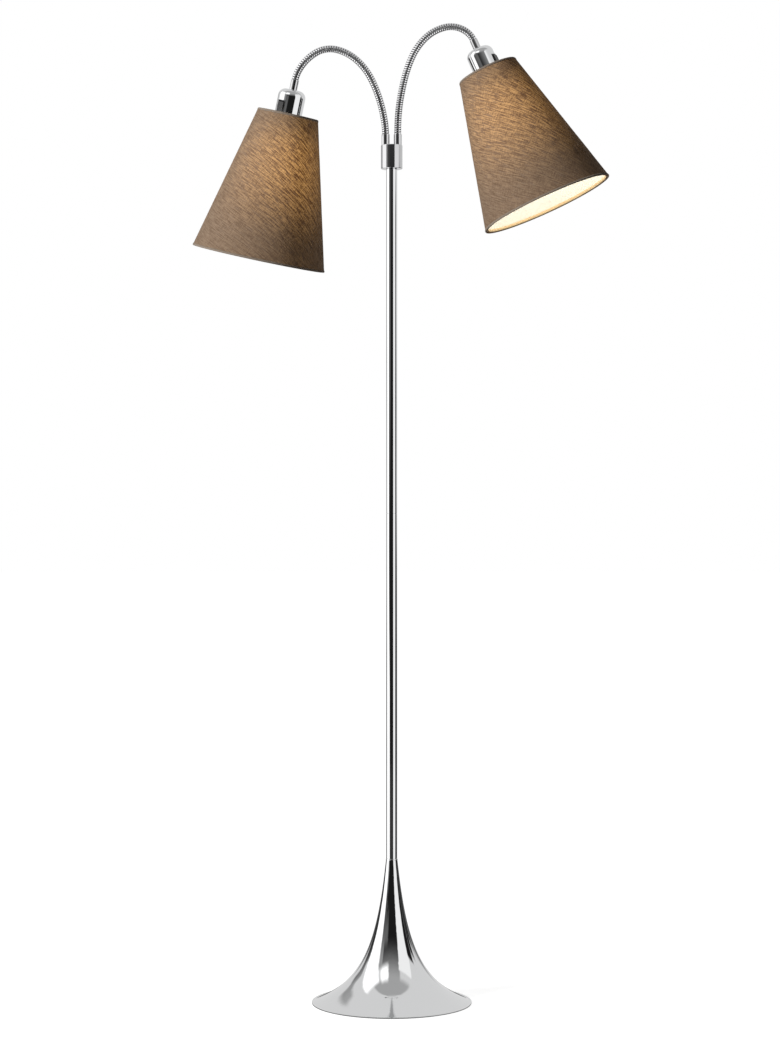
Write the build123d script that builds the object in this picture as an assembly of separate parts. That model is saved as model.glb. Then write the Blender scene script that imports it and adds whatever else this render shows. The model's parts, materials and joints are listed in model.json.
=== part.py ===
from build123d import *
import os
from math import cos, hypot, radians, sin, sqrt, tan

# A floor lamp with a trumpet base, a post in two lengths and two flexible necks with conical shades.
# It stands on the floor at z = 0 with the post on the Z axis. X runs to the right through both necks
# and Y to the back, where the supply cord would enter. Lengths are in millimetres, angles in degrees.

# ---- fits
fit = 0.05                # radial play of a spigot, thread, sleeve or pin in its bore
play = 0.3                # room between pieces that move past each other, and round soft pieces
overrun = 1.0             # how far a cutting shape runs past the face that it opens

# ---- base
base_height = 218.0       # floor to the top of the trumpet's neck
rim_radius = 122.0
lip_width = 4.0           # flat edge outside the flare
lip_clearance = 0.8       # the lip's height over the floor
shell_wall = 1.4
neck_radius = 8.9         # the trumpet at its top
flare = 54.0              # the flare follows (z + flare)(r + flare_shift) = constant
flare_points = 12
pad_thickness = 2.0
pad_inset = 1.0           # between the felt pad's edge and the shell
plate_thickness = 2.0
weight_height = 34.0
weight_gap = 1.0          # between the weight and the shell
screw_count = 3
screw_circle = 55.0       # radius that the plate screws stand on
screw_radius = 2.5
screw_head_radius = 4.6
screw_length = 14.0
screw_slot = 1.0          # width and depth of the driver's slot
cord_height = 10.5        # the supply cord's entry over the floor
cord_radius = 3.4
grommet_radius = 5.0
grommet_flange_radius = 6.5
grommet_flange = 2.0
grommet_inset = 12.0      # how far the grommet stays inside the rim
grommet_length = 26.0
channel_margin = 1.0      # room round the grommet's flange in the weight's channel

# ---- post
tube_radius = 8.4
tube_wall = 1.2
tube_chamfer = 0.4
ring_height = 2.0         # neck ring under the post
ring_radius = 9.1
lower_tube_length = 527.0
upper_tube_length = 526.0
joiner_length = 50.0
joiner_bore = 5.0
rod_radius = 5.0          # threaded tie rod through the base
rod_bore = 3.2
rod_head_height = 26.0    # plug at the rod's top, inside the lower tube
rod_tail = 9.0            # how far the rod reaches under its nut's seat
nut_across_flats = 17.0
nut_height = 6.0
nut_recess_play = 2.0

# ---- hub
hub_radius = 16.5
hub_height = 36.0
hub_wall = 2.2
hub_floor = 3.0
hub_edge = 0.8            # rounding of the hub's edges
hub_spigot_length = 25.0
lid_thickness = 8.0
lid_ledge = 1.2
arm_spacing = 18.6        # between the two necks
ferrule_radius = 6.25
ferrule_height = 16.6
ferrule_floor = 2.0
ferrule_spigot_radius = 4.0
grub_radius = 1.5
grub_length = 6.0
grub_depth = 4.0          # under the hub's top
grub_sink = 1.0           # under the hub's side
splice_size = (10.0, 7.0, 16.0)
splice_inset = 1.2        # between the splice block and the hub's wall
splice_hole = 1.6

# ---- flexible necks
hose_radius = 5.5         # over the ribs
hose_root = 5.0           # between the ribs
hose_bore = 2.6
rib_pitch = 3.2
rib_crest = 0.5           # share of a pitch that the rib's crest takes
groove_start = 0.7        # the groove's floor, in shares of a pitch from the crest's start
groove_end = 0.8
neck_length = 244.0       # from ferrule to sleeve, along the curve
link_count = 6            # free links between a neck's fixed foot and its end
ball_radius = 4.4
joint_gap = 1.2           # from a link's end to the centre of its ball
# how far each stretch of a neck bends down, and how far it leans to the side, from foot to end
left_bends = (8, 9, 10, 21, 28, 45, 28, 19)
right_bends = (2, 7, 5, 10, 21, 31, 49, 31)
left_leans = (3, 5, 0, 0, 0, 0, 0, 0)
right_leans = (1, 1, 0, 0, 0, 0, 0, 0)

# ---- lamp heads, measured down from the top of the socket cap
sleeve_radius = 6.0
sleeve_length = 15.0
sleeve_floor = 1.5
sleeve_spigot_radius = 4.9
sleeve_spigot_length = 8.0
cap_radius = 21.0
cap_length = 46.0
cap_wall = 1.0
cap_shoulder = 11.0
cap_nut_across_flats = 14.0
cap_nut_height = 4.0
switch_width = 14.0
switch_length = 20.0
switch_top = 18.5         # from the cap's top to the switch window
switch_depth = 12.0
switch_sink = 0.4         # the switch frame under the cap's highest line
switch_wall = 1.3
left_switch_angle = 130.0     # round the head's axis from the side that faces the post
right_switch_angle = 208.0
rocker_travel = 12.0
rocker_crown = 1.8        # the rocker's ridge over the cap
rocker_slope = 10.0
rocker_rim = 1.5          # thickness of the rocker's ends
rocker_skirt = 4.0
rocker_pocket = 9.0
pivot_depth = 3.5
pivot_radius = 1.2
pivot_reach = 0.9         # of the pivot pins into the switch frame
holder_radius = 19.6
holder_length = 30.0      # of the barrel under the cap
holder_flange = 6.0       # inside the cap
contact_depth = 6.0       # from the cap's lower edge to the screw shell's floor
shell_radius = 14.55
shell_length = 21.0
brass = 0.5
contact_radius = 3.5
contact_height = 1.5
lead_hole = 2.0           # holes for the leads through the holder's floor
shade_ring_radius = 24.5
shade_ring_height = 7.0
notch_count = 12          # finger notches round the shade ring
notch_radius = 2.0
notch_offset = 1.0        # of a notch's centre outside the ring
carrier_ring_radius = 26.0
carrier_ring_height = 2.5
spoke_count = 3
spoke_radius = 1.3

# ---- bulbs
bulb_length = 105.0
bulb_radius = 30.0
bulb_neck_radius = 13.4
bulb_cap_length = 24.5
bulb_contact_radius = 5.0
bulb_contact_height = 1.5
bulb_neck_length = 6.0
bulb_swell = 25.0         # angle under the globe's widest line where the neck takes over
glass = 1.0

# ---- shades
shade_drop = 37.0         # from the cap's top to the shade's upper rim
shade_height = 224.0
shade_top_radius = 46.5
shade_bottom_radius = 103.0
fabric = 0.9
liner = 0.5
shade_wire_radius = 1.5
wire_inset = 2.2          # of the wires' centres from the rims

# ---- worked out
lip_top = lip_clearance + shell_wall
lip_radius = rim_radius - lip_width
flare_shift = ((lip_top + flare) * lip_radius - (base_height + flare) * neck_radius) / (base_height - lip_top)
flare_product = (base_height + flare) * (neck_radius + flare_shift)
plate_top = pad_thickness + plate_thickness
weight_top = plate_top + weight_height
nut_seat = plate_top + rod_tail
post_bottom = base_height + ring_height
tube_joint = post_bottom + lower_tube_length
hub_bottom = tube_joint + upper_tube_length
hub_top = hub_bottom + hub_height
tube_bore = tube_radius - tube_wall
hub_bore = hub_radius - hub_wall
link_length = neck_length / (link_count + 1)
path_length = ferrule_height + neck_length + sleeve_length
holder_floor = cap_length + contact_depth
bulb_bottom = holder_floor + contact_height
switch_middle = switch_top + switch_length / 2
shade_slope = (shade_bottom_radius - shade_top_radius) / shade_height


# ---- plain shapes
def turned(*points):
    """A solid turned round Z from a closed outline of (radius, z) points."""
    return revolve(Plane.XZ * make_face(Polyline(*points, close=True)), axis=Axis.Z)


def cylinder(radius, low, high):
    return Pos(0, 0, low) * Cylinder(radius, high - low, align=(Align.CENTER, Align.CENTER, Align.MIN))


def tube(outer, inner, low, high):
    return cylinder(outer, low, high) - cylinder(inner, low - overrun, high + overrun)


def hexagon(across_flats, low, high):
    outline = RegularPolygon(across_flats / 2, 6, major_radius=False)
    return extrude(Pos(0, 0, low) * outline, amount=high - low)


def rims(shape, radius):
    """The circular edges of a shape that have a radius."""
    return [edge for edge in shape.edges().filter_by(GeomType.CIRCLE) if abs(edge.radius - radius) < fit / 2]


def round_about(count, radius, shape):
    """Copies of a shape at even angles on a circle round Z."""
    return [Rot(0, 0, 360 * i / count) * Pos(radius, 0, 0) * shape for i in range(count)]


# ---- base
def flare_radius(z, depth=0.0):
    """The trumpet's radius at a height, for a surface that lies a depth inside its skin."""
    outer = flare_product / (z + flare) - flare_shift
    slope = flare_product / (z + flare) ** 2
    return outer - depth * sqrt(1 + slope ** 2)


def flare_curve(depth, low, high):
    """The trumpet's outline from low to high, with its points closer where it flares more."""
    steps = [i / (flare_points - 1) for i in range(flare_points)]
    heights = [low + (high - low) * step ** 2 for step in steps]
    return Spline(*[(flare_radius(z, depth), z) for z in heights])


def base_shell():
    outer = flare_curve(0, lip_top, base_height)
    inner = flare_curve(shell_wall, lip_clearance, base_height)
    edges = [outer, Line(outer @ 1, inner @ 1), inner]
    edges += Polyline(inner @ 0, (rim_radius, lip_clearance), (rim_radius, lip_top), outer @ 0).edges()
    shell = revolve(Plane.XZ * make_face(edges), axis=Axis.Z)
    return shell - cord_cylinder(grommet_radius + fit, rim_radius)


def cord_cylinder(radius, length):
    """A cylinder on the supply cord's axis, from the lamp's middle to the back."""
    return Pos(0, 0, cord_height) * Rot(-90, 0, 0) * cylinder(radius, 0, length)


def base_weight():
    side = flare_curve(shell_wall + weight_gap, plate_top, weight_top)
    edges = [side]
    edges += Polyline(side @ 1, (0, weight_top), (0, plate_top), side @ 0).edges()
    weight = revolve(Plane.XZ * make_face(edges), axis=Axis.Z)
    recess_radius = nut_across_flats / sqrt(3) + nut_recess_play
    weight -= cylinder(rod_radius + fit, 0, weight_top + overrun)
    weight -= cylinder(recess_radius, 0, nut_seat)
    for hole in round_about(screw_count, screw_circle, cylinder(screw_radius + fit, 0, screw_length + plate_top)):
        weight -= hole
    width = 2 * (grommet_flange_radius + channel_margin)
    channel_top = cord_height + grommet_flange_radius + channel_margin
    return weight - Pos(0, rim_radius / 2, channel_top / 2) * Box(width, rim_radius, channel_top)


def base_plate():
    radius = flare_radius(plate_top, shell_wall) - play
    plate = cylinder(radius, pad_thickness, plate_top)
    for hole in round_about(screw_count, screw_circle, screw(fit)):
        plate -= hole
    return plate


def screw(extra=0.0):
    """A countersunk screw from below, flush with the plate's underside; extra widens it to its hole."""
    head = turned((0, pad_thickness), (screw_head_radius + extra, pad_thickness),
                  (screw_radius + extra, plate_top), (0, plate_top))
    return head + cylinder(screw_radius + extra, pad_thickness, plate_top + screw_length)


def plate_screws():
    slot = Pos(0, 0, pad_thickness) * Box(2 * screw_head_radius, screw_slot, 2 * screw_slot)
    return Compound(round_about(screw_count, screw_circle, screw() - slot))


def base_pad():
    return cylinder(flare_radius(plate_top, shell_wall) - pad_inset, 0, pad_thickness)


def cord_grommet():
    outer_end = rim_radius - grommet_inset
    inner_end = outer_end - grommet_length
    bush = cord_cylinder(grommet_radius, outer_end) - cord_cylinder(grommet_radius, inner_end)
    flange = cord_cylinder(grommet_flange_radius, inner_end + grommet_flange)
    flange -= cord_cylinder(grommet_flange_radius, inner_end)
    return bush + flange - cord_cylinder(cord_radius, rim_radius)


def tie_rod():
    rod = cylinder(rod_radius, plate_top + play, post_bottom + rod_head_height)
    head = cylinder(tube_bore - fit, post_bottom, post_bottom + rod_head_height)
    return rod + head - cylinder(rod_bore, 0, hub_top)


def tie_nut():
    nut = hexagon(nut_across_flats, nut_seat - nut_height, nut_seat)
    return nut - cylinder(rod_radius + fit, 0, nut_seat + overrun)


# ---- post
def neck_ring():
    ring = tube(ring_radius, rod_radius + fit, base_height, post_bottom)
    return fillet(rims(ring, ring_radius), ring_height / 4)


def post_tube(low, high):
    post = tube(tube_radius, tube_bore, low, high)
    return chamfer(rims(post, tube_radius), tube_chamfer)


def tube_joiner():
    half = joiner_length / 2
    return tube(tube_bore - fit, joiner_bore, tube_joint - half, tube_joint + half)


def arm_hub():
    ledge = hub_top - lid_thickness
    floor = hub_bottom + hub_floor
    spigot_radius = tube_bore - fit
    spigot_end = hub_bottom - hub_spigot_length
    hub = turned((joiner_bore, spigot_end), (spigot_radius, spigot_end), (spigot_radius, hub_bottom),
                 (hub_radius, hub_bottom), (hub_radius, hub_top), (hub_bore, hub_top), (hub_bore, ledge),
                 (hub_bore - lid_ledge, ledge), (hub_bore - lid_ledge, floor), (joiner_bore, floor))
    return fillet(rims(hub, hub_radius), hub_edge) - grub(fit)


def grub(extra=0.0):
    """The screw that locks the lid, let in from the back of the hub."""
    head = hub_radius - grub_sink
    screw_shape = cylinder(grub_radius + extra, head - grub_length, head)
    if extra:
        screw_shape += cylinder(grub_radius + extra, head - overrun, hub_radius + overrun)
    return Pos(0, 0, hub_top - grub_depth) * Rot(-90, 0, 0) * screw_shape


def hub_lid():
    lid = cylinder(hub_bore - fit, hub_top - lid_thickness, hub_top)
    for side in (-1, 1):
        hole = cylinder(ferrule_spigot_radius + fit, 0, hub_top + overrun)
        lid -= Pos(side * arm_spacing / 2, 0, 0) * hole
    return lid - grub(fit)


def splice_block():
    width, depth, height = splice_size
    room = hub_bore - lid_ledge - splice_inset
    back = -sqrt(room ** 2 - (width / 2) ** 2)
    block = Pos(0, back + depth / 2, hub_bottom + hub_floor + height / 2) * Box(width, depth, height)
    for side in (-1, 1):
        hole = Pos(side * width / 4, back + depth / 2, 0) * cylinder(splice_hole, hub_bottom, hub_top)
        block -= hole
    return block


def arm_ferrules():
    ferrule = tube(ferrule_radius, hose_radius + fit, hub_top + ferrule_floor, hub_top + ferrule_height)
    ferrule += cylinder(ferrule_radius, hub_top, hub_top + ferrule_floor)
    ferrule += cylinder(ferrule_spigot_radius, hub_top - lid_thickness, hub_top)
    ferrule -= cylinder(hose_bore, 0, hub_top + ferrule_height)
    return Compound([Pos(side * arm_spacing / 2, 0, 0) * ferrule for side in (-1, 1)])


# ---- flexible necks
def advance(plane, length, bend, lean):
    """The plane at the end of an arc that starts square to a plane, turned towards its X and its Y."""
    turn = hypot(bend, lean)
    if turn == 0:
        return Plane(plane.origin + plane.z_dir * length, x_dir=plane.x_dir, z_dir=plane.z_dir)
    towards = (plane.x_dir * bend + plane.y_dir * lean) / turn
    radius = length / radians(turn)
    rise = plane.z_dir * radius * sin(radians(turn))
    swing = towards * radius * (1 - cos(radians(turn)))
    axis = Axis((0, 0, 0), plane.z_dir.cross(towards))
    return Plane(plane.origin + rise + swing, x_dir=plane.x_dir.rotate(axis, turn),
                 z_dir=plane.z_dir.rotate(axis, turn))


class Neck:
    """One neck's centre line from the hub's top to the socket cap: a chain of arcs between straight ends."""

    def __init__(self, side, bends, leans):
        half = link_length / 2
        lengths = [half] + [link_length] * link_count + [half]
        self.spans = [(ferrule_height, 0, 0)] + list(zip(lengths, bends, leans)) + [(sleeve_length, 0, 0)]
        self.planes = [Plane((side * arm_spacing / 2, 0, hub_top), x_dir=(side, 0, 0), z_dir=(0, 0, 1))]
        for span in self.spans:
            self.planes.append(advance(self.planes[-1], *span))

    def at(self, distance):
        """The plane square to the centre line at a distance along it."""
        for plane, (length, bend, lean) in zip(self.planes, self.spans):
            if distance <= length:
                share = distance / length
                return advance(plane, distance, bend * share, lean * share)
            distance -= length
        return advance(self.planes[-1], distance, 0, 0)

    def joint(self, number):
        """The plane at the centre of a joint, numbered from 1 at the foot."""
        return self.at(ferrule_height + link_length * (number - 0.5))

    def end(self):
        return self.planes[-1]


def hose(neck, low, high, ball=False, socket=False):
    """A ribbed length of neck, with a ball before its low end or a socket in its high end."""
    rib_count = round((high - low) / rib_pitch)
    pitch = (high - low) / (rib_count - 1 + rib_crest)
    rings = []
    for rib in range(rib_count):
        start = low + rib * pitch
        rings += [(start, hose_radius), (start + rib_crest * pitch, hose_radius)]
        rings += [(start + groove_start * pitch, hose_root), (start + groove_end * pitch, hose_root)]
    # the last rib ends at its crest, so its groove is left off
    body = loft([neck.at(s) * Circle(radius) for s, radius in rings[:-2]], ruled=True)
    bore_start = low
    if ball:
        body += neck.at(low - joint_gap) * Sphere(ball_radius)
        bore_start = low - joint_gap - ball_radius - overrun
    if socket:
        body -= neck.at(high + joint_gap) * Sphere(ball_radius + play)
    bore_count = round((high - bore_start) / rib_pitch)
    bore_step = (high + overrun - bore_start) / bore_count
    stations = [bore_start + i * bore_step for i in range(bore_count + 1)]
    return body - loft([neck.at(s) * Circle(hose_bore) for s in stations], ruled=True)


def neck_foot(neck):
    first_joint = ferrule_height + link_length / 2
    return hose(neck, ferrule_floor, first_joint - joint_gap, socket=True)


def neck_link(neck, number):
    start = ferrule_height + link_length * (number - 0.5)
    return hose(neck, start + joint_gap, start + link_length - joint_gap, ball=True, socket=True)


def neck_end(neck):
    last_joint = ferrule_height + link_length * (link_count + 0.5)
    return hose(neck, last_joint + joint_gap, path_length - sleeve_floor, ball=True)


# ---- lamp heads, in the head's own frame: z runs down from the cap's top, x faces the post
def head_sleeve():
    sleeve = tube(sleeve_radius, hose_radius + fit, -sleeve_length, -sleeve_floor)
    sleeve += cylinder(sleeve_radius, -sleeve_floor, 0)
    sleeve += cylinder(sleeve_spigot_radius, 0, sleeve_spigot_length)
    return sleeve - cylinder(hose_bore, -sleeve_length, sleeve_spigot_length + overrun)


def cap_nut():
    nut = hexagon(cap_nut_across_flats, cap_wall, cap_wall + cap_nut_height)
    return nut - cylinder(sleeve_spigot_radius + fit, 0, cap_length)


def dome(radius, shoulder, low, high):
    """A solid cylinder whose upper edge, at the low z, is rounded."""
    return fillet(cylinder(radius, low, high).edges().sort_by(Axis.Z)[0], shoulder)


def socket_cap(angle):
    cap = dome(cap_radius, cap_shoulder, 0, cap_length)
    cap -= dome(cap_radius - cap_wall, cap_shoulder - cap_wall, cap_wall, cap_length + overrun)
    cap -= cylinder(sleeve_spigot_radius + fit, -overrun, cap_wall + overrun)
    return cap - switch_plane(angle) * Box(switch_length, switch_width, 2 * switch_depth)


def switch_plane(angle):
    """The switch's frame: x down the cap, y round it and z out of it, at the cap's surface."""
    out = Vector(cos(radians(angle)), sin(radians(angle)), 0)
    return Plane(out * cap_radius + Vector(0, 0, switch_middle), x_dir=(0, 0, 1), z_dir=out)


def switch_frame(angle):
    length = switch_length - 2 * fit
    width = switch_width - 2 * fit
    frame = Pos(0, 0, -(switch_sink + switch_depth) / 2) * Box(length, width, switch_depth - switch_sink)
    pocket = Box(length - 2 * switch_wall, width - 2 * switch_wall, 2 * rocker_pocket)
    pins = Pos(0, 0, -pivot_depth) * Rot(90, 0, 0) * Cylinder(pivot_radius + fit, pin_span() + 2 * fit)
    return switch_plane(angle) * (frame - pocket - pins)


def rocker_width():
    return switch_width - 2 * fit - 2 * switch_wall - 2 * play


def pin_span():
    return switch_width - 2 * fit - 2 * switch_wall + 2 * pivot_reach


def rocker(angle):
    """The rocker as it rests, tipped to one end of its travel."""
    pocket_half = switch_length / 2 - fit - switch_wall
    half = pocket_half - play - (pivot_depth + rocker_crown) * sin(radians(rocker_travel / 2))
    edge = rocker_crown - half * tan(radians(rocker_slope))
    outline = Polyline((-half, edge), (0, rocker_crown), (half, edge), (half, edge - rocker_rim),
                       (half / 2, -rocker_skirt), (-half / 2, -rocker_skirt), (-half, edge - rocker_rim), close=True)
    body = extrude(Plane.XZ * make_face(outline), amount=rocker_width() / 2, both=True)
    body += Pos(0, 0, -pivot_depth) * Rot(90, 0, 0) * Cylinder(pivot_radius, pin_span())
    pivot = Pos(0, 0, -pivot_depth)
    tipped = pivot * Rot(0, rocker_travel / 2, 0) * Pos(0, 0, pivot_depth) * body
    return switch_plane(angle) * tipped


def lamp_holder():
    flange = cylinder(cap_radius - cap_wall - fit, cap_length - holder_flange, cap_length)
    barrel = cylinder(holder_radius, cap_length, cap_length + holder_length)
    holder = flange + barrel - cylinder(shell_radius + fit, holder_floor, cap_length + holder_length + overrun)
    for side in (-1, 1):
        holder -= Pos(side * shell_radius / 2, 0, 0) * cylinder(lead_hole, 0, holder_floor + overrun)
    return holder


def socket_contacts():
    shell = tube(shell_radius, shell_radius - brass, holder_floor, holder_floor + shell_length)
    return Compound([shell, cylinder(contact_radius, holder_floor, holder_floor + contact_height)])


def shade_ring():
    low = cap_length + carrier_ring_height
    ring = tube(shade_ring_radius, holder_radius + fit, low, low + shade_ring_height)
    notch = cylinder(notch_radius, low - overrun, low + shade_ring_height + overrun)
    for copy in round_about(notch_count, shade_ring_radius + notch_offset, notch):
        ring -= copy
    return ring


def cone_shell(outer_inset, inner_inset, low=0.0, high=shade_height):
    """A conical shell between two depths under the shade's outer skin, measured level."""
    top = shade_top_radius + shade_slope * low
    bottom = shade_top_radius + shade_slope * high
    return turned((top - inner_inset, shade_drop + low), (top - outer_inset, shade_drop + low),
                  (bottom - outer_inset, shade_drop + high), (bottom - inner_inset, shade_drop + high))


def wire_ring(height):
    """The centre radius of a round wire that lies against the liner at a height under the upper rim."""
    lining = shade_top_radius + shade_slope * height - fabric - fit - liner - fit
    return lining - shade_wire_radius * hypot(1, shade_slope)


def shade_wire(height):
    return Pos(0, 0, shade_drop + height) * Torus(wire_ring(height), shade_wire_radius)


def shade_carrier():
    """The shade's upper wire with the spokes and the ring that the lamp holder clamps."""
    carrier = tube(carrier_ring_radius, holder_radius + fit, cap_length, cap_length + carrier_ring_height)
    inner = Vector(carrier_ring_radius - spoke_radius, 0, cap_length + carrier_ring_height / 2)
    outer = Vector(wire_ring(wire_inset), 0, shade_drop + wire_inset)
    spoke = Plane(inner, z_dir=outer - inner) * cylinder(spoke_radius, 0, (outer - inner).length)
    for copy in round_about(spoke_count, 0, spoke):
        carrier += copy
    return carrier + shade_wire(wire_inset)


# ---- bulbs
def bulb_outline(inset):
    """The globe and neck of the bulb, drawn in by an inset, from its cap to its tip."""
    glass_start = bulb_bottom + bulb_contact_height + bulb_cap_length
    centre = bulb_bottom + bulb_length - bulb_radius
    radius = bulb_radius - inset
    swell = radians(bulb_swell)
    joint = (radius * cos(swell), centre - radius * sin(swell))
    neck = bulb_neck_radius - inset
    neck_top = (neck, glass_start + bulb_neck_length)
    globe = ThreePointArc(joint, (radius * cos(swell), centre + radius * sin(swell)), (0, centre + radius))
    shoulder = Spline(neck_top, joint, tangents=((0, 1), (sin(swell), cos(swell))))
    return [Line((neck, glass_start), neck_top), shoulder, globe,
            Line((0, centre + radius), (0, glass_start)), Line((0, glass_start), (neck, glass_start))]


def bulb_glass():
    outer = revolve(Plane.XZ * make_face(bulb_outline(0)), axis=Axis.Z)
    return outer - revolve(Plane.XZ * make_face(bulb_outline(glass)), axis=Axis.Z)


def bulb_cap():
    low = bulb_bottom + bulb_contact_height
    return cylinder(bulb_contact_radius, bulb_bottom, low) + cylinder(bulb_neck_radius, low, low + bulb_cap_length)


# ---- assembly
def stand_parts(left, right):
    return {
        "base_shell": base_shell(),
        "base_weight": base_weight(),
        "base_plate": base_plate(),
        "base_pad": base_pad(),
        "plate_screws": plate_screws(),
        "cord_grommet": cord_grommet(),
        "tie_rod": tie_rod(),
        "tie_nut": tie_nut(),
        "neck_ring": neck_ring(),
        "lower_tube": post_tube(post_bottom, tube_joint),
        "tube_joiner": tube_joiner(),
        "upper_tube": post_tube(tube_joint, hub_bottom),
        "arm_hub": arm_hub(),
        "hub_lid": hub_lid(),
        "hub_screw": grub(),
        "splice_block": splice_block(),
        "arm_ferrules": arm_ferrules(),
        "neck_feet": Compound([neck_foot(left), neck_foot(right)]),
    }


def neck_parts(side, neck):
    parts = {f"{side}_link_{i}": neck_link(neck, i) for i in range(1, link_count + 1)}
    parts[f"{side}_neck_end"] = neck_end(neck)
    return parts


def head_parts(side, neck, switch_angle):
    pieces = {
        "sleeve": head_sleeve(),
        "cap_nut": cap_nut(),
        "socket_cap": socket_cap(switch_angle),
        "switch_frame": switch_frame(switch_angle),
        "rocker": rocker(switch_angle),
        "lamp_holder": lamp_holder(),
        "socket_contacts": socket_contacts(),
        "shade_ring": shade_ring(),
        "shade_carrier": shade_carrier(),
        "shade_bottom_wire": shade_wire(shade_height - wire_inset),
        "shade_liner": cone_shell(fabric + fit, fabric + fit + liner),
        "shade_fabric": cone_shell(0, fabric),
        "bulb_cap": bulb_cap(),
        "bulb_glass": bulb_glass(),
    }
    return {f"{side}_{name}": neck.end() * piece for name, piece in pieces.items()}


left_neck = Neck(-1, left_bends, left_leans)
right_neck = Neck(1, right_bends, right_leans)


def main():
    parts = stand_parts(left_neck, right_neck)
    for side, neck, angle in (("left", left_neck, left_switch_angle), ("right", right_neck, right_switch_angle)):
        parts |= neck_parts(side, neck)
        parts |= head_parts(side, neck, angle)
    os.makedirs("parts", exist_ok=True)
    for name, part in parts.items():
        export_step(part, f"parts/{name}.step")
    print(len(parts), "nodes")


if __name__ == "__main__":
    main()
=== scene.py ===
import json
import math
import bpy
from mathutils import Matrix, Vector, noise

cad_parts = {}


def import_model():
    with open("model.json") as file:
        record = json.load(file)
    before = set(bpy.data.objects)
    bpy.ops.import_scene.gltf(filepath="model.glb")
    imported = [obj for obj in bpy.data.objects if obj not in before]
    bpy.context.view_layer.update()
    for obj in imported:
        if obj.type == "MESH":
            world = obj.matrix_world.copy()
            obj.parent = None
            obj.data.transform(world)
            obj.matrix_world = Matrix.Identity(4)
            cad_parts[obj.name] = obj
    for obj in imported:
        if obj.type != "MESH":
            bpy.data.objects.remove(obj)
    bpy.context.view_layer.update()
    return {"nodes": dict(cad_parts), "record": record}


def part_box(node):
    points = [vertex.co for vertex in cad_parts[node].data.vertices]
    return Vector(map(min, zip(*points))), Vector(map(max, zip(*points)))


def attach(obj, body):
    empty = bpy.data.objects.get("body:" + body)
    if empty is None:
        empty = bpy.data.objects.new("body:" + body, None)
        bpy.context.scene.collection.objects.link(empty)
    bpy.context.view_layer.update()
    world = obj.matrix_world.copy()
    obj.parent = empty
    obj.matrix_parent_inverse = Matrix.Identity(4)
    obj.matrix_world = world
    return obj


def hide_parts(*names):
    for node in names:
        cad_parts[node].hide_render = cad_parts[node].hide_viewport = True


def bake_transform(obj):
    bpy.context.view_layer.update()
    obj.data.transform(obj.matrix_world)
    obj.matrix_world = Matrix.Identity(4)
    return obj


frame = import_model()

# A chrome floor lamp with two flexible necks and two lit linen shades. Lengths are in metres and
# angles in degrees, unless a name says otherwise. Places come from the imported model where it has
# them.

SIDES = {"left": -1, "right": 1}

# ---- the camera, as the photograph was taken
camera_distance = 3.6
camera_height = 0.737
camera_side = -0.0026
camera_lens = 81.6         # millimetres
camera_sensor = 36         # millimetres, on the picture's long side

# ---- the room that polished metal shows. A patch of its wall has azimuths, elevations, its level at
# the low and at the high end of a slope, the elevations of that slope, and how soft its edges are.
# Azimuth 0 is towards the camera, + to the right. The room is a ball round a point low on the lamp.
room_radius = 3.5
room_centre = (0.0, 0.0, 0.1)
room_rows = 48
room_sides = 96
room_pole = 89.5           # elevation of the ball's last ring
room_level = 0.74
room_patches = (
    ((-46, 37), (-90, 88), 0.012, 0.42, (22, 62), 4),        # dark room behind the camera
    ((-80, 80), (60, 88), 0.42, 0.42, (60, 88), 5),          # ceiling
    ((-48, -17), (45, 62), 1.6, 1.6, (45, 66), 6),           # small lamp
    ((-58, -24), (15, 27), 0.14, 0.14, (0, 60), 5),
    ((-110, -57), (-90, 60), 1.4, 1.4, (0, 60), 3.5),        # left softbox
    ((-58, -44), (-90, 4), 1.4, 1.4, (0, 60), 2),
    ((-60, -44), (5, 44), 0.05, 0.36, (8, 40), 4),
    ((32, 82), (-90, 49), 1.02, 1.02, (0, 60), 2),           # right softbox
    ((79, 101), (-90, 27), 0.012, 0.012, (0, 60), 2),        # right flag
    ((101, 115), (-90, 19), 0.012, 0.012, (0, 60), 3),
    ((114, 130), (-90, 10), 0.012, 0.012, (0, 60), 3),
    ((129, 155), (-90, 8), 0.05, 0.18, (-4, 8), 5),
    ((-134, -111), (-90, 19), 0.03, 0.12, (8, 20), 3),       # left flag
    ((-142, -120), (16, 28), 0.16, 0.32, (16, 28), 3),
    ((-149, -133), (25, 44), 0.34, 0.42, (25, 44), 4),
    ((-155, -132), (-90, 6), 0.05, 0.05, (0, 60), 4),
)
floor_radius = 30.0
floor_sides = 96
floor_dip = 1.0            # how far under the floor the room is read for its mirror image
floor_level = (0.93, 1.0)  # near the lamp and far away, where the key light is weaker
floor_reach = (1.0, 6.0)   # the distances of those two levels
floor_mirrored = 0.15      # under the rim, where polished metal shows the lamp's own shadow
floor_near = 0.125         # distances between which that shadow fades into the room
floor_far = 0.15
floor_matt = 0.5
floor_matt_mirrored = floor_matt / 8
soft_level = 0.05          # what matt surfaces see all round
key_place = (-3.0, -1.95, 2.2)
key_aim = (0, 0, 1.1)
key_size = 1.0
key_power = 114

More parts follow.
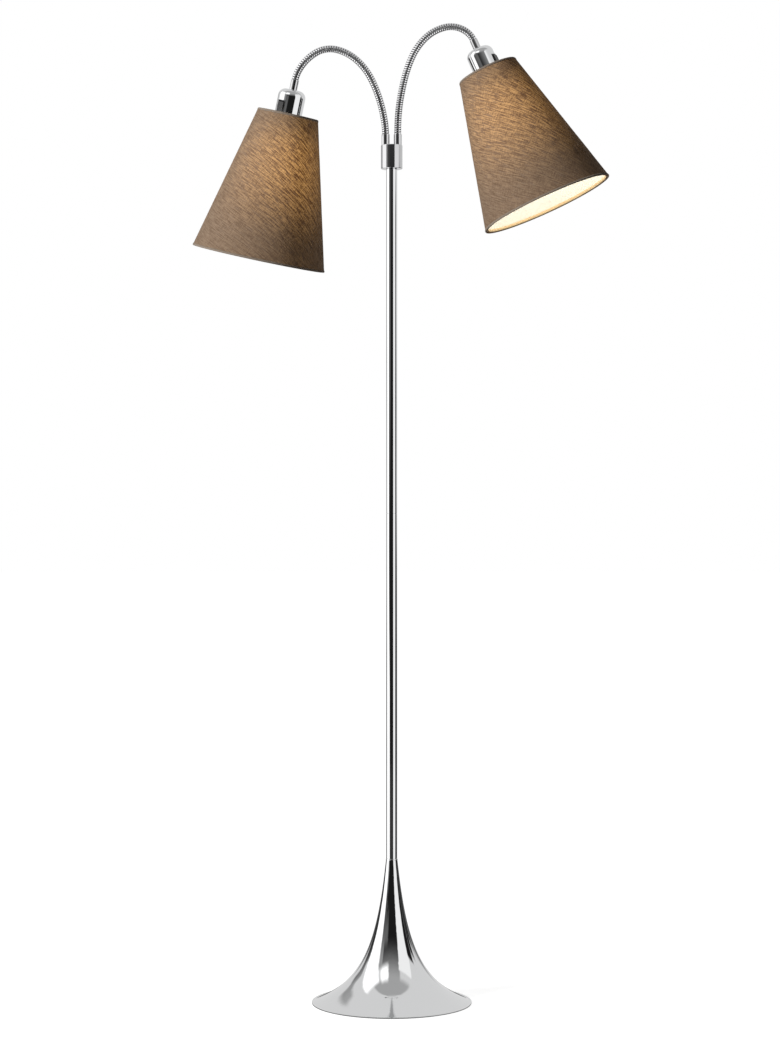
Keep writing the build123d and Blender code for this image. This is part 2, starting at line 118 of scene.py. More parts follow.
# ---- necks
hub_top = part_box("arm_hub")[1].z
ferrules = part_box("arm_ferrules")
ferrule_radius = (ferrules[1].y - ferrules[0].y) / 2
arm_spacing = ferrules[1].x - ferrules[0].x - 2 * ferrule_radius
ferrule_height = ferrules[1].z - hub_top
ferrule_floor = 0.002
neck_length = 0.244
link_count = 6
link_length = neck_length / (link_count + 1)
sleeve_length = 0.015
sleeve_floor = 0.0015
bends = {"left": (8, 9, 10, 21, 28, 45, 28, 19), "right": (2, 7, 5, 10, 21, 31, 49, 31)}
leans = {"left": (3, 5, 0, 0, 0, 0, 0, 0), "right": (1, 1, 0, 0, 0, 0, 0, 0)}
hose_radius = 0.0055
hose_root = 0.0050
hose_pitch = 0.0035        # from one turn of the wound wire to the next
wire_share = 0.66          # of the pitch that the wire's crest takes, the rest is groove
wire_flat = 6              # power of the crest's outline: 2 is round, more is flatter
blend_margin = 0.003       # a hose piece's start and end are taken this far inside its ends
hose_sides = 36            # points round the hose
hose_steps = 16            # rings for each turn of the wire

# ---- shades, in the head's own frame: z runs down from the socket cap's top, x faces the post
shade_drop = 0.037
shade_height = 0.224
shade_top_radius = 0.0465
shade_bottom_radius = 0.103
fabric = 0.0009
liner = 0.0005
liner_gap = 0.00005
wire_radius = 0.0015
wire_inset = 0.0022
hem_cloth = 0.0004         # thickness of the turned-in edge
hem_inside = 0.0052        # how far it reaches up the inside
hem_outside = 0.003
hem_shoulder = 0.0009      # where the outside starts to go round the rim
hem_wrap = (-60, 150)      # where the hem meets the wire inside, and how far it follows it
hem_wrap_steps = 8
hem_sides = 192
seam_width = 0.009         # lapped seam at the back
seam_rise = 0.00035
seam_calm = 0.02           # the cloth lies even this near the seam
wave_height = 0.00012
linen_mesh = (56, 256)     # rows down a sheet and points round it
lining_mesh = (28, 128)
shade_slope = (shade_bottom_radius - shade_top_radius) / shade_height
cone_sine = math.sin(math.atan(shade_slope))
cloth_gloss = 0.12
thread_angle = {"left": 28, "right": 46}    # of the slubs to the rim, at the front
thread_scales = (170.0, 2100.0)             # of the noise along a thread and across it

# ---- the glow of the linen: z is in the head's frame
glow_rise = (0.036, 0.094)      # z between which it grows to its full strength
glow_fall = (0.105, 0.238)      # z between which it falls off again
glow_at_top = 0.30
glow_at_rim = 0.12
glow_at_side = 0.14             # where the shade faces away from the post
glow_focus = 1.5                # power of its fall to the side
glow_lean = 12                  # how far its middle is turned from the front to the post

# ---- felt under the base
felt_sides = 160
felt_eye = 0.0004          # radius of the felt disc's closed middle


# ---- the neck's centre line
def advance(place, length, bend, lean):
    """The place at the end of an arc that starts along a place's Z and turns to its X and Y."""
    turn = math.radians(math.hypot(bend, lean))
    if turn == 0:
        return place @ Matrix.Translation((0, 0, length))
    heading = math.atan2(lean, bend)
    radius = length / turn
    swing = radius * (1 - math.cos(turn))
    aside = (swing * math.cos(heading), swing * math.sin(heading))
    move = Matrix.Translation((*aside, radius * math.sin(turn)))
    about = Matrix.Rotation(heading, 4, "Z")
    return place @ move @ about @ Matrix.Rotation(turn, 4, "Y") @ about.inverted()


class Neck:
    """One neck's centre line from the hub's top to the socket cap: arcs and two straight ends."""

    def __init__(self, side):
        half = link_length / 2
        lengths = [half] + [link_length] * link_count + [half]
        arcs = zip(lengths, bends[side], leans[side])
        self.spans = [(ferrule_height, 0, 0), *arcs, (sleeve_length, 0, 0)]
        foot = Matrix.Translation((SIDES[side] * arm_spacing / 2, 0, hub_top))
        if SIDES[side] < 0:
            foot = foot @ Matrix.Rotation(math.pi, 4, "Z")
        self.places = [foot]
        for span in self.spans:
            self.places.append(advance(self.places[-1], *span))

    def at(self, distance):
        """The place square to the centre line at a distance along it."""
        for place, (length, bend, lean) in zip(self.places, self.spans):
            if distance <= length:
                share = distance / length
                return advance(place, distance, bend * share, lean * share)
            distance -= length
        return self.places[-1]

    def head(self):
        return self.places[-1]


necks = {side: Neck(side) for side in SIDES}


# ---- meshes
def wrapped(name, rings, closed=False, uv=None):
    """A mesh over rings of points with as many points each. closed joins the last ring to the
    first, and otherwise both ends are filled. uv gives a map's point for a ring and a place on it."""
    count = len(rings[0])
    points = [point for ring in rings for point in ring]
    last = len(rings) if closed else len(rings) - 1
    faces, spots = [], []
    for i in range(last):
        for j in range(count):
            corners = [(i, j), (i, j + 1), (i + 1, j + 1), (i + 1, j)]
            faces.append([(a % len(rings)) * count + b % count for a, b in corners])
            spots.append(corners)
    if not closed:
        faces.append(list(reversed(range(count))))
        spots.append([(0, j) for j in reversed(range(count))])
        faces.append([(len(rings) - 1) * count + j for j in range(count)])
        spots.append([(len(rings) - 1, j) for j in range(count)])
    mesh = bpy.data.meshes.new(name)
    mesh.from_pydata([tuple(point) for point in points], [], faces)
    if uv:
        layer = mesh.uv_layers.new(name="Weave")
        flat = [value for corners in spots for a, b in corners for value in uv(a, b)]
        layer.data.foreach_set("uv", flat)
    mesh.polygons.foreach_set("use_smooth", [True] * len(mesh.polygons))
    if not closed:
        mesh.polygons[-1].use_smooth = mesh.polygons[-2].use_smooth = False
    piece = bpy.data.objects.new(name, mesh)
    bpy.context.scene.collection.objects.link(piece)
    return piece


def turned(name, outline, segments, uv=None):
    """A solid of revolution round Z from a closed outline of (radius, z) points."""
    rings = []
    for radius, z in outline:
        turns = [math.tau * j / segments for j in range(segments)]
        rings.append([(radius * math.cos(turn), radius * math.sin(turn), z) for turn in turns])
    return wrapped(name, rings, closed=True, uv=uv)


def offset_band(path, half):
    """A closed outline on both sides of a path of (radius, z) points."""
    sides = ([], [])
    for i, (r, z) in enumerate(path):
        before = path[max(i - 1, 0)]
        after = path[min(i + 1, len(path) - 1)]
        along = Vector((after[0] - before[0], after[1] - before[1])).normalized()
        sides[0].append((r - along.y * half, z + along.x * half))
        sides[1].append((r + along.y * half, z - along.x * half))
    return sides[0] + sides[1][::-1]


# ---- materials
class Graph:
    """Short ways to add and join nodes in one node tree."""

    def __init__(self, tree):
        self.tree = tree

    def plug(self, socket, value):
        """Puts a number, a colour or another node's output on a socket."""
        if isinstance(value, bpy.types.NodeSocket):
            self.tree.links.new(value, socket)
        elif isinstance(value, tuple) and len(value) == 3 and socket.type == "RGBA":
            socket.default_value = (*value, 1)
        else:
            socket.default_value = value

    def node(self, kind, values, settings=None):
        made = self.tree.nodes.new("ShaderNode" + kind)
        for key, value in (settings or {}).items():
            setattr(made, key, value)
        for key, value in values.items():
            self.plug(made.inputs[key], value)
        return made

    def math(self, operation, a, b=0.0, c=0.0):
        made = self.node("Math", {0: a, 1: b, 2: c}, {"operation": operation})
        return made.outputs[0]

    def fade(self, value, low, high, to_low=0.0, to_high=1.0):
        """A smooth step from to_low at low to to_high at high."""
        values = {"Value": value, "From Min": low, "From Max": high,
                  "To Min": to_low, "To Max": to_high}
        return self.node("MapRange", values, {"interpolation_type": "SMOOTHSTEP"}).outputs[0]

    def band(self, value, low, high, soft):
        """1 between two values and 0 outside, with soft edges."""
        rise = self.fade(value, low - soft, low + soft)
        fall = self.fade(value, high - soft, high + soft, 1.0, 0.0)
        return self.math("MULTIPLY", rise, fall)

    def mix(self, share, a, b):
        made = self.tree.nodes.new("ShaderNodeMix")
        made.data_type = "RGBA"
        self.plug(made.inputs[0], share)
        self.plug(made.inputs[6], a)
        self.plug(made.inputs[7], b)
        return made.outputs[2]

    def split(self, vector):
        return self.node("SeparateXYZ", {"Vector": vector}).outputs

    def vectors(self, operation, a, b):
        return self.node("VectorMath", {0: a, 1: b}, {"operation": operation}).outputs

    def either(self, *rays):
        """1 for the kinds of ray that are named."""
        path = self.node("LightPath", {}).outputs
        total = 0.0
        for ray in rays:
            total = self.math("MAXIMUM", path[ray], total)
        return total

    def noise(self, vector, scale, detail=2.0, rough=0.5):
        values = {"Vector": vector, "Scale": scale, "Detail": detail, "Roughness": rough}
        return self.node("TexNoise", values).outputs["Fac"]

    def from_axis(self, x, y):
        """The distance from the Z axis."""
        squares = self.math("ADD", self.math("MULTIPLY", x, x), self.math("MULTIPLY", y, y))
        return self.math("SQRT", squares)

    def room(self, direction):
        """How bright the room is in a direction, as polished metal shows it."""
        x, y, z = self.split(self.vectors("NORMALIZE", direction, (0.0, 0.0, 0.0))[0])
        azimuth = self.math("DEGREES", self.math("ARCTAN2", x, self.math("MULTIPLY", y, -1.0)))
        elevation = self.math("DEGREES", self.math("ARCSINE", z))
        level = room_level
        for azimuths, elevations, low, high, slope, soft in room_patches:
            across = self.band(azimuth, *azimuths, soft)
            up = self.band(elevation, *elevations, soft)
            value = self.fade(elevation, *slope, low, high)
            level = self.math("MULTIPLY_ADD", self.math("MULTIPLY", across, up),
                              self.math("SUBTRACT", value, level), level)
        return level


class Shader(Graph):
    """The nodes of one material, round its Principled shader."""

    def __init__(self, name, **plain):
        self.material = bpy.data.materials.new(name)
        self.material.use_nodes = True
        super().__init__(self.material.node_tree)
        self.main = self.tree.nodes["Principled BSDF"]
        for key, value in plain.items():
            self.set(key.replace("_", " ").title(), value)

    def set(self, socket, value):
        self.plug(self.main.inputs[socket], value)

    def place(self, kind="Object"):
        return self.node("TexCoord", {}).outputs[kind]

    def stretched(self, vector, scale, turn=0.0):
        """Coordinates turned round Z by an angle and then scaled, for patterns with a direction."""
        turned_vector = self.node("VectorRotate", {"Vector": vector, "Angle": math.radians(turn)},
                                  {"rotation_type": "Z_AXIS"}).outputs[0]
        return self.vectors("MULTIPLY", turned_vector, scale)[0]

    def threads(self, vector, turn):
        """Fine threads both ways."""
        along, across = thread_scales
        warp = self.noise(self.stretched(vector, (along, across, 1.0), turn), 1.0, 1.0)
        weft = self.noise(self.stretched(vector, (across, along, 1.0), turn), 1.0, 1.0)
        return self.math("MULTIPLY", self.math("ADD", warp, weft), 0.5)

    def bump(self, height, distance):
        self.set("Normal", self.node("Bump", {"Height": height, "Distance": distance}).outputs[0])

    def glow(self, colour, strength):
        self.set("Emission Color", colour)
        self.set("Emission Strength", strength)


def chrome():
    made = Shader("chrome", base_color=(0.82, 0.825, 0.83), metallic=1.0)
    place = made.place()
    smudges = made.noise(place, 9.0, 3.0)
    wipes = made.noise(made.stretched(place, (220.0, 220.0, 12.0)), 1.0, 2.0)
    haze = made.math("MULTIPLY", made.fade(smudges, 0.45, 0.7), 0.05)
    wiped = made.math("MULTIPLY", wipes, 0.03)
    made.set("Roughness", made.math("ADD", wiped, made.math("ADD", haze, 0.02)))
    ripple = made.noise(place, 26.0, 1.0)
    made.bump(ripple, 0.00006)
    return made.material


def painted_shade_chrome():
    """The hub, its ferrules and the sleeves: a darker copy of the post's chrome, which is painted
    shade on their reflections.
    """
    made = Shader("painted_shade_chrome", metallic=1.0)
    place = made.place()
    cloud = made.noise(place, 40.0, 3.0)
    made.set("Base Color", made.mix(cloud, (0.70, 0.70, 0.705), (0.60, 0.60, 0.605)))
    made.set("Roughness", made.math("MULTIPLY_ADD", cloud, 0.08, 0.04))
    made.bump(made.noise(place, 60.0, 1.0), 0.00003)
    return made.material


def hose_metal():
    """Bright wire crests, and painted shade in the grooves between the turns, coloured near black."""
    made = Shader("hose_metal", metallic=1.0)
    place = made.place()
    grime = made.noise(place, 60.0, 3.0)
    crest = made.node("Attribute", {}, {"attribute_name": "crest"}).outputs["Fac"]
    worn = made.mix(grime, (0.95, 0.95, 0.96), (0.84, 0.84, 0.85))
    # painted shade: where the crest share is low, in the grooves, the colour is near black
    made.set("Base Color", made.mix(made.fade(crest, 0.5, 0.9), (0.045, 0.045, 0.046), worn))
    made.set("Roughness", made.math("MULTIPLY_ADD", grime, 0.06, 0.04))
    made.bump(made.noise(place, 900.0, 1.0), 0.00002)
    return made.material


def zinc():
    made = Shader("zinc_plate", metallic=1.0)
    place = made.place()
    spangle = made.node("TexVoronoi", {"Vector": place, "Scale": 260.0}).outputs["Color"]
    grey = made.node("RGBToBW", {"Color": spangle}).outputs[0]
    made.set("Base Color", made.mix(grey, (0.52, 0.53, 0.53), (0.68, 0.68, 0.66)))
    made.set("Roughness", made.math("MULTIPLY_ADD", grey, 0.2, 0.28))
    made.bump(made.noise(place, 500.0, 3.0), 0.00008)
    return made.material


def iron():
    made = Shader("cast_iron", metallic=0.6)
    place = made.place()
    grain = made.noise(place, 420.0, 5.0, 0.6)
    made.set("Base Color", made.mix(grain, (0.05, 0.05, 0.055), (0.15, 0.14, 0.14)))
    made.set("Roughness", made.math("MULTIPLY_ADD", grain, 0.25, 0.6))
    made.bump(grain, 0.0005)
    return made.material


def felt():
    made = Shader("felt", sheen_weight=0.4, sheen_roughness=0.6)
    place = made.place()
    fibres = made.noise(made.stretched(place, (1400.0, 700.0, 900.0), 31), 1.0, 4.0, 0.65)
    clumps = made.noise(place, 160.0, 2.0)
    made.set("Base Color", made.mix(fibres, (0.018, 0.018, 0.02), (0.11, 0.11, 0.115)))
    made.set("Roughness", made.math("MULTIPLY_ADD", clumps, 0.1, 0.88))
    made.bump(made.math("ADD", fibres, clumps), 0.0004)
    return made.material


def black_plastic():
    made = Shader("black_plastic")
    place = made.place()
    grain = made.noise(place, 1500.0, 2.0)
    wear = made.noise(place, 70.0, 3.0)
    made.set("Base Color", made.mix(wear, (0.012, 0.012, 0.013), (0.03, 0.03, 0.032)))
    made.set("Roughness", made.math("MULTIPLY_ADD", wear, 0.18, 0.22))
    made.bump(grain, 0.00004)
    return made.material


def white_plastic():
    made = Shader("white_plastic")
    place = made.place()
    grain = made.noise(place, 900.0, 2.0)
    age = made.noise(place, 45.0, 3.0)
    made.set("Base Color", made.mix(age, (0.80, 0.79, 0.75), (0.70, 0.67, 0.60)))
    made.set("Roughness", made.math("MULTIPLY_ADD", age, 0.2, 0.4))
    made.bump(grain, 0.00005)
    return made.material


def brass():
    made = Shader("brass", metallic=1.0)
    place = made.place()
    tarnish = made.noise(place, 130.0, 4.0)
    made.set("Base Color", made.mix(tarnish, (0.78, 0.60, 0.28), (0.45, 0.30, 0.12)))
    made.set("Roughness", made.math("MULTIPLY_ADD", tarnish, 0.3, 0.2))
    made.bump(tarnish, 0.00005)
    return made.material


def white_wire():
    made = Shader("powder_coat")
    place = made.place()
    orange_peel = made.noise(place, 1100.0, 2.0)
    chips = made.fade(made.noise(place, 210.0, 4.0), 0.68, 0.74)
    made.set("Base Color", made.mix(chips, (0.82, 0.81, 0.78), (0.55, 0.54, 0.52)))
    made.set("Roughness", made.math("MULTIPLY_ADD", orange_peel, 0.2, 0.35))
    made.bump(orange_peel, 0.00008)
    return made.material


def bulb_cap():
    made = Shader("aluminium_cap", metallic=1.0)
    place = made.place()
    scuff = made.noise(place, 240.0, 4.0)
    made.set("Base Color", made.mix(scuff, (0.76, 0.76, 0.75), (0.55, 0.55, 0.54)))
    made.set("Roughness", made.math("MULTIPLY_ADD", scuff, 0.25, 0.25))
    made.bump(scuff, 0.00006)
    return made.material


def bulb_glass():
    made = Shader("lit_bulb", base_color=(0.95, 0.92, 0.85), roughness=0.35)
    frosting = made.noise(made.place(), 700.0)
    made.glow(made.mix(frosting, (1.0, 0.95, 0.85), (1.0, 0.97, 0.90)), 3.0)
    made.bump(frosting, 0.00004)
    return made.material


def lining():
    made = Shader("lining", roughness=0.55)
    weave = made.place("UV")
    paper = made.noise(weave, 900.0, 3.0)
    cloud = made.noise(weave, 25.0)
    made.set("Base Color", made.mix(paper, (0.93, 0.91, 0.85), (0.87, 0.84, 0.77)))
    # painted lamp light: the lining glows as if lit by the bulb, over the bulb's real light
    made.glow(made.mix(cloud, (1.0, 0.96, 0.82), (1.0, 0.93, 0.75)), 0.44)
    made.bump(paper, 0.00006)
    return made.material


def through_linen(made):
    """How much lamp light comes through the linen, by the place in the head's frame: most level
    with the bulb, less beside the lamp holder and little at the lower rim, and more at the front
    and the back of the shade than at its sides."""
    x, y, z = made.split(made.place())
    from_top = made.fade(z, *glow_rise, glow_at_top, 1.0)
    to_rim = made.fade(z, *glow_fall, 1.0, glow_at_rim)
    lean = math.radians(glow_lean)
    level = made.math("MULTIPLY", made.math("ABSOLUTE", y), math.cos(lean))
    ahead = made.math("MULTIPLY_ADD", x, math.sin(lean), level)
    facing = made.math("MAXIMUM", made.math("DIVIDE", ahead, made.from_axis(x, y)), 0.0)
    focused = made.math("POWER", facing, glow_focus)
    around = made.math("MULTIPLY_ADD", focused, 1 - glow_at_side, glow_at_side)
    return made.math("MULTIPLY", made.math("MULTIPLY", from_top, to_rim), around)


def linen(name, turn):
    """Slubby linen: fine threads both ways, long uneven slubs, and lamp light that comes through
    between them."""
    made = Shader(name, sheen_weight=0.05, sheen_roughness=0.4, sheen_tint=(0.95, 0.88, 0.8))
    made.set("Specular IOR Level", cloth_gloss)
    weave = made.place("UV")
    drift = made.vectors("MULTIPLY", made.noise(weave, 30.0), (0.003, 0.003, 0.0))[0]
    wander = made.vectors("ADD", weave, drift)[0]
    long_slubs = made.noise(made.stretched(wander, (46.0, 600.0, 1.0), -turn), 1.0, 3.0, 0.62)
    cross_slubs = made.noise(made.stretched(wander, (520.0, 90.0, 1.0), -turn), 1.0, 3.0, 0.6)
    streaks = made.noise(made.stretched(wander, (55.0, 430.0, 1.0), -turn - 3), 1.0, 1.0)
    grain = made.noise(weave, 560.0, 3.0, 0.65)
    threads = made.threads(wander, -turn)
    cloth = made.math("MULTIPLY", grain, 0.22)
    for layer, share in ((threads, 0.12), (cross_slubs, 0.20), (long_slubs, 0.46)):
        cloth = made.math("MULTIPLY_ADD", layer, share, cloth)
    colour = made.mix(made.fade(cloth, 0.40, 0.60), (0.215, 0.142, 0.092), (0.335, 0.243, 0.172))
    made.set("Base Color", colour)
    made.set("Roughness", made.math("MULTIPLY_ADD", threads, 0.15, 0.78))
    thick = made.fade(streaks, 0.36, 0.47, 0.15, 1.0)
    gaps = made.math("MULTIPLY", made.fade(cloth, 0.42, 0.58), thick)
    made.glow(made.mix(gaps, (0.085, 0.027, 0.003), (0.56, 0.29, 0.085)), through_linen(made))
    made.bump(cloth, 0.0011)
    return made.material


def hem_tape():
    """The turned-in edge: linen outside, and inside a paler copy of it, painted as lit by the lamp,
    which also glows with painted lamp light and has a painted shadow line along the wire.
    """
    made = Shader("hem_tape", sheen_weight=0.2, sheen_roughness=0.5, sheen_tint=(0.95, 0.88, 0.8))
    made.set("Specular IOR Level", cloth_gloss)
    weave = made.place("UV")
    threads = made.threads(weave, 45)
    x, y, z = made.split(made.place())
    skin = made.math("MULTIPLY_ADD", z, shade_slope, shade_top_radius - shade_slope * shade_drop)
    depth = made.math("SUBTRACT", skin, made.from_axis(x, y))
    inside = made.fade(depth, fabric * 0.9, fabric + liner)
    from_rim = made.math("SUBTRACT", shade_drop + shade_height, z)
    # painted shadow: a darker orange line in the glow along the wire
    line = made.band(from_rim, hem_inside * 0.62, hem_inside * 0.8, 0.0003)
    cloth = made.mix(threads, (0.25, 0.195, 0.15), (0.43, 0.35, 0.28))
    # painted light: the inside of the hem is a paler copy of the linen, as if lit from the bulb
    tape = made.mix(threads, (0.58, 0.44, 0.29), (0.68, 0.53, 0.36))
    lit = made.math("MULTIPLY", inside, made.fade(from_rim, 0.0003, 0.0010))
    edge = made.math("SUBTRACT", inside, lit)
    both_sides = made.mix(inside, cloth, tape)
    made.set("Base Color", made.mix(edge, both_sides, (0.34, 0.17, 0.07)))
    made.set("Roughness", 0.8)
    made.glow(made.mix(line, (0.36, 0.26, 0.12), (0.40, 0.13, 0.015)), lit)
    made.bump(threads, 0.0004)
    return made.material


finishes = {
    "chrome": chrome(), "zinc": zinc(), "iron": iron(), "felt": felt(), "brass": brass(),
    "black_plastic": black_plastic(), "white_plastic": white_plastic(), "white_wire": white_wire(),
    "bulb_cap": bulb_cap(), "bulb_glass": bulb_glass(), "lining": lining(), "linen": hem_tape(),
}
hose_finish = hose_metal()
# painted shade: the arm's metal pieces get a darker copy of the chrome
arm_finish = painted_shade_chrome()
arm_nodes = ("arm_hub", "arm_ferrules", "hub_lid", "left_sleeve", "right_sleeve")
head_insides = ("bulb_glass", "bulb_cap", "lamp_holder", "socket_contacts", "shade_ring",
                "shade_carrier", "shade_bottom_wire")


def dress(piece, material):
    piece.data.materials.clear()
    piece.data.materials.append(material)


def dress_cad_nodes():
    """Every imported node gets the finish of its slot, also one that a modelled piece stands for."""
    for part in frame["record"]["subparts"]:
        dress(frame["nodes"][part["node"]], finishes[part["material_slot"]])
    for node in arm_nodes:
        dress(frame["nodes"][node], arm_finish)
    for side in SIDES:
        for node in head_insides:
            # the room's patches are all that polished metal reflects
            frame["nodes"][f"{side}_{node}"].visible_glossy = False


# ---- flexible necks
def hose_height(distance, turn):
    """The hose's radius at a distance along it and an angle round it: one wire wound in a helix."""
    phase = (distance / hose_pitch - turn / math.tau) % 1.0
    across = 2 * phase / wire_share - 1
    crest = (1 - across ** wire_flat) ** (1 / wire_flat) if abs(across) < 1 else 0.0
    return hose_root + (hose_radius - hose_root) * crest


def hose_piece(side, number):
    """The stretch of one neck round one joint, from the middle of a link to that of the next."""
    neck = necks[side]
    low = ferrule_height + link_length * (number - 1)
    high = low + link_length
    start, end = low + blend_margin, high - blend_margin
    if number == 1:
        low = ferrule_floor
    if number == link_count + 1:
        high = ferrule_height + neck_length + sleeve_length - sleeve_floor
    steps = round((high - low) / hose_pitch * hose_steps)
    rings, heights = [], []
    for i in range(steps + 1):
        distance = low + (high - low) * i / steps
        place = neck.at(distance)
        ring = []
        for j in range(hose_sides):
            turn = math.tau * j / hose_sides
            radius = hose_height(distance, turn)
            heights.append(radius)
            ring.append(place @ Vector((radius * math.cos(turn), radius * math.sin(turn), 0)))
        rings.append(ring)
    piece = wrapped(f"{side}_hose_{number}", rings)
    # the crest share drives the painted shade in the hose's grooves
    layer = piece.data.attributes.new("crest", "FLOAT", "POINT")
    crests = [(height - hose_root) / (hose_radius - hose_root) for height in heights]
    layer.data.foreach_set("value", crests)
    dress(piece, hose_finish)
    neck.at(start).translation
    neck.at(end).translation
    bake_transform(piece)
    if number == 1:
        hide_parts("neck_feet")
    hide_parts(f"{side}_link_{number}" if number <= link_count else f"{side}_neck_end")


# ---- shades
def on_head(piece, side, slot_name, *nodes):
    """Moves a piece from the head's own frame to its place, and lets it ride there."""
    piece.matrix_world = necks[side].head()
    piece.visible_glossy = False
    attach(piece, f"{side}_head")
    if nodes:
        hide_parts(*nodes)


def cone_radius(drop, inset=0.0):
    """The shade's radius at a depth under its upper rim."""
    return shade_top_radius + shade_slope * drop - inset


def unrolled(radius, turn):
    """Where a spot of the cone lies on its flat cut, with the seam at a turn of zero."""
    slant = radius / cone_sine
    angle = (turn - math.pi) * cone_sine
    return slant * math.sin(angle), -slant * math.cos(angle)


def back_turn(side):
    """The angle in the head's frame that faces away from the camera."""
    return SIDES[side] * math.pi / 2


def cone_sheet(name, side, outer_inset, inner_inset, mesh_size, rise):
    """A conical sheet between two depths under the outer skin. Its UV map is cut at the back."""
    rows, segments = mesh_size
    drops = [shade_height * i / rows for i in range(rows + 1)]
    outline = [(cone_radius(drop, outer_inset), drop, 1) for drop in drops]
    outline += [(cone_radius(drop, inner_inset), drop, 0) for drop in reversed(drops)]
    start = back_turn(side)
    rings = []
    for radius, drop, outer in outline:
        ring = []
        for j in range(segments):
            turn = math.tau * j / segments
            lifted = radius + (rise(turn, drop, radius) if outer else 0.0)
            at = start + turn
            ring.append((lifted * math.cos(at), lifted * math.sin(at), shade_drop + drop))
        rings.append(ring)

    def uv(i, j):
        return unrolled(outline[i % len(outline)][0], math.tau * j / segments)
    return wrapped(name, rings, closed=True, uv=uv)


def linen_rise(turn, drop, radius):
    """The lapped seam at the back, and the slight unevenness of cloth glued on a stiff liner."""
    from_seam = min(turn, math.tau - turn) * radius
    lap = seam_rise if turn * radius < seam_width else 0.0
    wave = noise.noise(Vector((math.cos(turn) * 3, math.sin(turn) * 3, drop * 40)))
    return lap + wave_height * wave * min(1.0, from_seam / seam_calm)


def hem_path(side_of_rim):
    """The turned-in edge at a rim: along the outside, round the rim and over the wire inside."""
    rim = 0.0 if side_of_rim < 0 else shade_height
    into = -side_of_rim              # from the rim towards the shade's middle
    skin = hem_cloth / 2
    rises = ((hem_outside, skin / 2), (hem_outside * 0.6, skin * 1.6), (hem_shoulder, skin * 1.8))
    outside = [(cone_radius(rim + into * d, -rise), rim + into * d) for d, rise in rises]
    edge = [(cone_radius(rim, fabric * 0.2), rim - into * skin * 0.4),
            (cone_radius(rim, fabric + liner * 0.5), rim - into * skin * 0.2)]
    wire_drop = rim + into * wire_inset
    slant = math.hypot(1, shade_slope)
    centre = cone_radius(wire_drop, fabric + liner + 2 * liner_gap) - wire_radius * slant
    reach = wire_radius + skin + liner_gap
    first, turn = hem_wrap
    over = []
    for i in range(hem_wrap_steps + 1):
        angle = math.radians(first + turn * i / hem_wrap_steps)
        over.append((centre - reach * math.cos(angle), wire_drop + into * reach * math.sin(angle)))
    lined = fabric + liner + 2 * liner_gap + skin
    inside = [(cone_radius(rim + into * d, lined), rim + into * d)
              for d in (hem_inside * 0.8, hem_inside)]
    return outside + edge + over + inside


def hem(side, rim_name, side_of_rim):
    outline = offset_band(hem_path(side_of_rim), hem_cloth / 2)
    if side_of_rim < 0:
        outline = outline[::-1]
    lengths = [0.0]
    for before, after in zip(outline, outline[1:] + outline[:1]):
        lengths.append(lengths[-1] + math.dist(before, after))

    def uv(i, j):
        return outline[0][0] * math.tau * j / hem_sides, lengths[i]
    raised = [(radius, shade_drop + drop) for radius, drop in outline]
    piece = turned(f"{side}_shade_{rim_name}_hem", raised, hem_sides, uv)
    dress(piece, finishes["linen"])
    on_head(piece, side, "linen")
    return piece


def shade(side):
    skin = cone_sheet(f"{side}_shade_linen", side, 0.0, fabric, linen_mesh, linen_rise)
    dress(skin, linen(f"{side}_linen", thread_angle[side]))
    on_head(skin, side, "linen", f"{side}_shade_fabric")
    lined = fabric + liner_gap
    inner = cone_sheet(f"{side}_shade_lining", side, lined, lined + liner, lining_mesh,
                       lambda *_: 0.0)
    dress(inner, finishes["lining"])
    on_head(inner, side, "lining", f"{side}_shade_liner")
    hems = [hem(side, "top", -1), hem(side, "bottom", 1)]


# ---- felt under the base
def base_felt():
    low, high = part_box("base_pad")
    radius, thickness = high.x, high.z
    edge = thickness / 4
    cut = edge * 0.3
    outline = [(felt_eye, 0.0), (radius * 0.5, 0.0), (radius - edge, 0.0), (radius - cut, cut),
               (radius, edge), (radius, thickness - edge), (radius - cut, thickness - cut),
               (radius - edge, thickness), (radius * 0.5, thickness), (felt_eye, thickness)]
    piece = turned("base_felt", outline[::-1], felt_sides)
    dress(piece, finishes["felt"])
    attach(piece, "stand")
    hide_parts("base_pad")


# ---- world, lamp, floor, room and camera
def world():
    """White for the camera and soft light for the rest."""
    made = bpy.data.worlds.new("studio")
    bpy.context.scene.world = made
    made.use_nodes = True
    graph = Graph(made.node_tree)
    graph.tree.nodes.clear()
    colour = graph.mix(graph.either("Is Camera Ray"), (soft_level,) * 3, (1.0, 1.0, 1.0))
    background = graph.node("Background", {"Color": colour})
    graph.node("OutputWorld", {"Surface": background.outputs[0]})


def area_light(name, place, aim, size, power):
    data = bpy.data.lights.new(name, "AREA")
    data.shape = "DISK"
    data.size = size
    data.energy = power
    light = bpy.data.objects.new(name, data)
    light.location = place
    light.rotation_euler = (Vector(aim) - Vector(place)).to_track_quat("-Z", "Y").to_euler()
    light.visible_glossy = light.visible_camera = False
    bpy.context.scene.collection.objects.link(light)


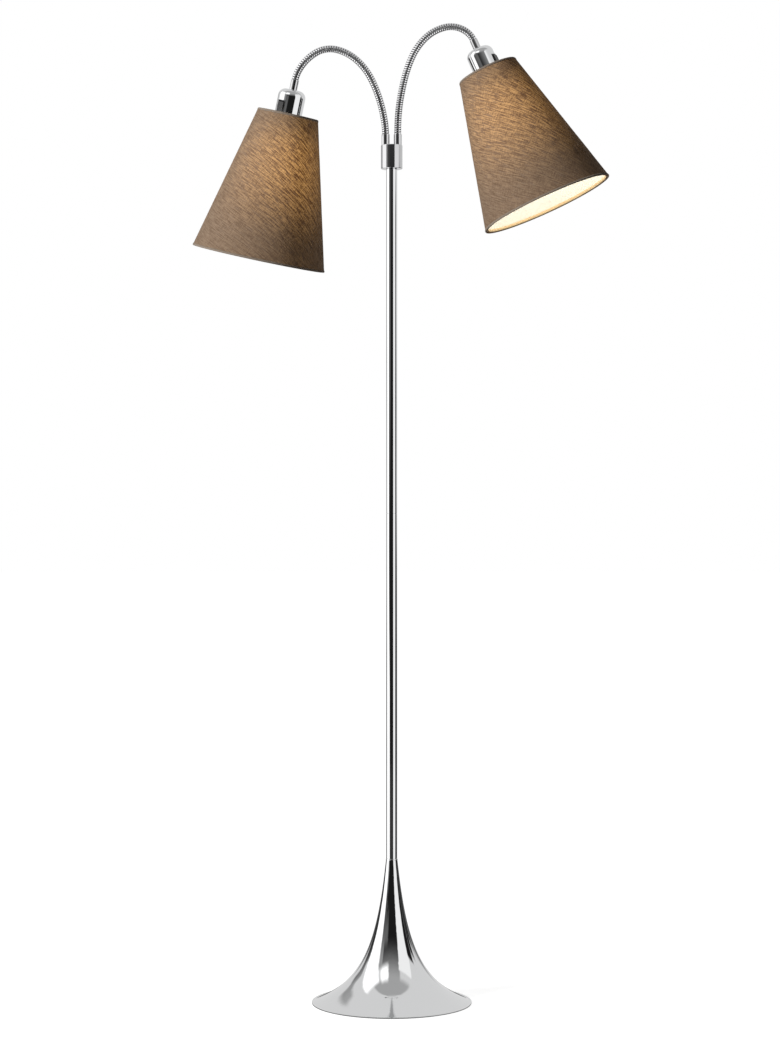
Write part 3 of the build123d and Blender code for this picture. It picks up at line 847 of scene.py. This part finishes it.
def floor():
    """A pale round floor: it keeps a soft shadow, and what isn't shaded shows white."""
    mesh = bpy.data.meshes.new("floor")
    turns = [math.tau * i / floor_sides for i in range(floor_sides)]
    ring = [(floor_radius * math.cos(turn), floor_radius * math.sin(turn), 0) for turn in turns]
    mesh.from_pydata(ring, [], [list(range(floor_sides))])
    ground = bpy.data.objects.new("floor", mesh)
    bpy.context.scene.collection.objects.link(ground)
    material = bpy.data.materials.new("pale_floor")
    material.use_nodes = True
    graph = Graph(material.node_tree)
    graph.tree.nodes.clear()
    place = graph.node("TexCoord", {}).outputs["Object"]
    glossy = graph.either("Is Glossy Ray")
    matt_colour = graph.mix(glossy, (floor_matt,) * 3, (floor_matt_mirrored,) * 3)
    matt = graph.node("BsdfDiffuse", {"Color": matt_colour})
    away = graph.vectors("LENGTH", place, (0.0, 0.0, 0.0))["Value"]
    far = graph.fade(away, floor_near, floor_far)
    wall = graph.room(graph.vectors("SUBTRACT", place, (0.0, 0.0, floor_dip))[0])
    mirrored = graph.mix(far, (floor_mirrored,) * 3, wall)
    colour = graph.mix(glossy, graph.fade(away, *floor_reach, *floor_level), mirrored)
    seen = graph.either("Is Camera Ray", "Is Glossy Ray", "Is Transmission Ray")
    white = graph.node("Emission", {"Color": colour, "Strength": seen})
    both = graph.node("AddShader", {0: matt.outputs[0], 1: white.outputs[0]})
    graph.node("OutputMaterial", {"Surface": both.outputs[0]})
    dress(ground, material)


def room():
    """A ball round the whole set that only polished metal shows. Its inside has the patches."""
    turns = [math.tau * j / room_sides for j in range(room_sides)]
    rings = []
    for i in range(room_rows + 1):
        slope = math.radians(-room_pole + 2 * room_pole * i / room_rows)
        level = room_radius * math.cos(slope)
        height = room_radius * math.sin(slope)
        rings.append([(level * math.cos(turn), level * math.sin(turn), height) for turn in turns])
    ball = wrapped("room", rings)
    ball.location = room_centre
    material = bpy.data.materials.new("room")
    material.use_nodes = True
    graph = Graph(material.node_tree)
    graph.tree.nodes.clear()
    wall = graph.room(graph.node("TexCoord", {}).outputs["Object"])
    light = graph.node("Emission", {"Color": wall})
    graph.node("OutputMaterial", {"Surface": light.outputs[0]})
    dress(ball, material)
    ball.visible_camera = ball.visible_shadow = False
    ball.visible_diffuse = ball.visible_transmission = False


def camera():
    data = bpy.data.cameras.new("camera")
    data.lens = camera_lens
    data.sensor_width = camera_sensor
    eye = bpy.data.objects.new("camera", data)
    eye.location = (camera_side, -camera_distance, camera_height)
    eye.rotation_euler = (math.radians(90), 0, 0)
    bpy.context.scene.collection.objects.link(eye)
    bpy.context.scene.camera = eye


# ---- the scene
camera()
world()
floor()
room()
area_light("key", key_place, key_aim, key_size, key_power)
dress_cad_nodes()
for neck_side in SIDES:
    for hose_number in range(1, link_count + 2):
        hose_piece(neck_side, hose_number)
    shade(neck_side)
base_felt()

bpy.context.scene.view_settings.view_transform = "Standard"
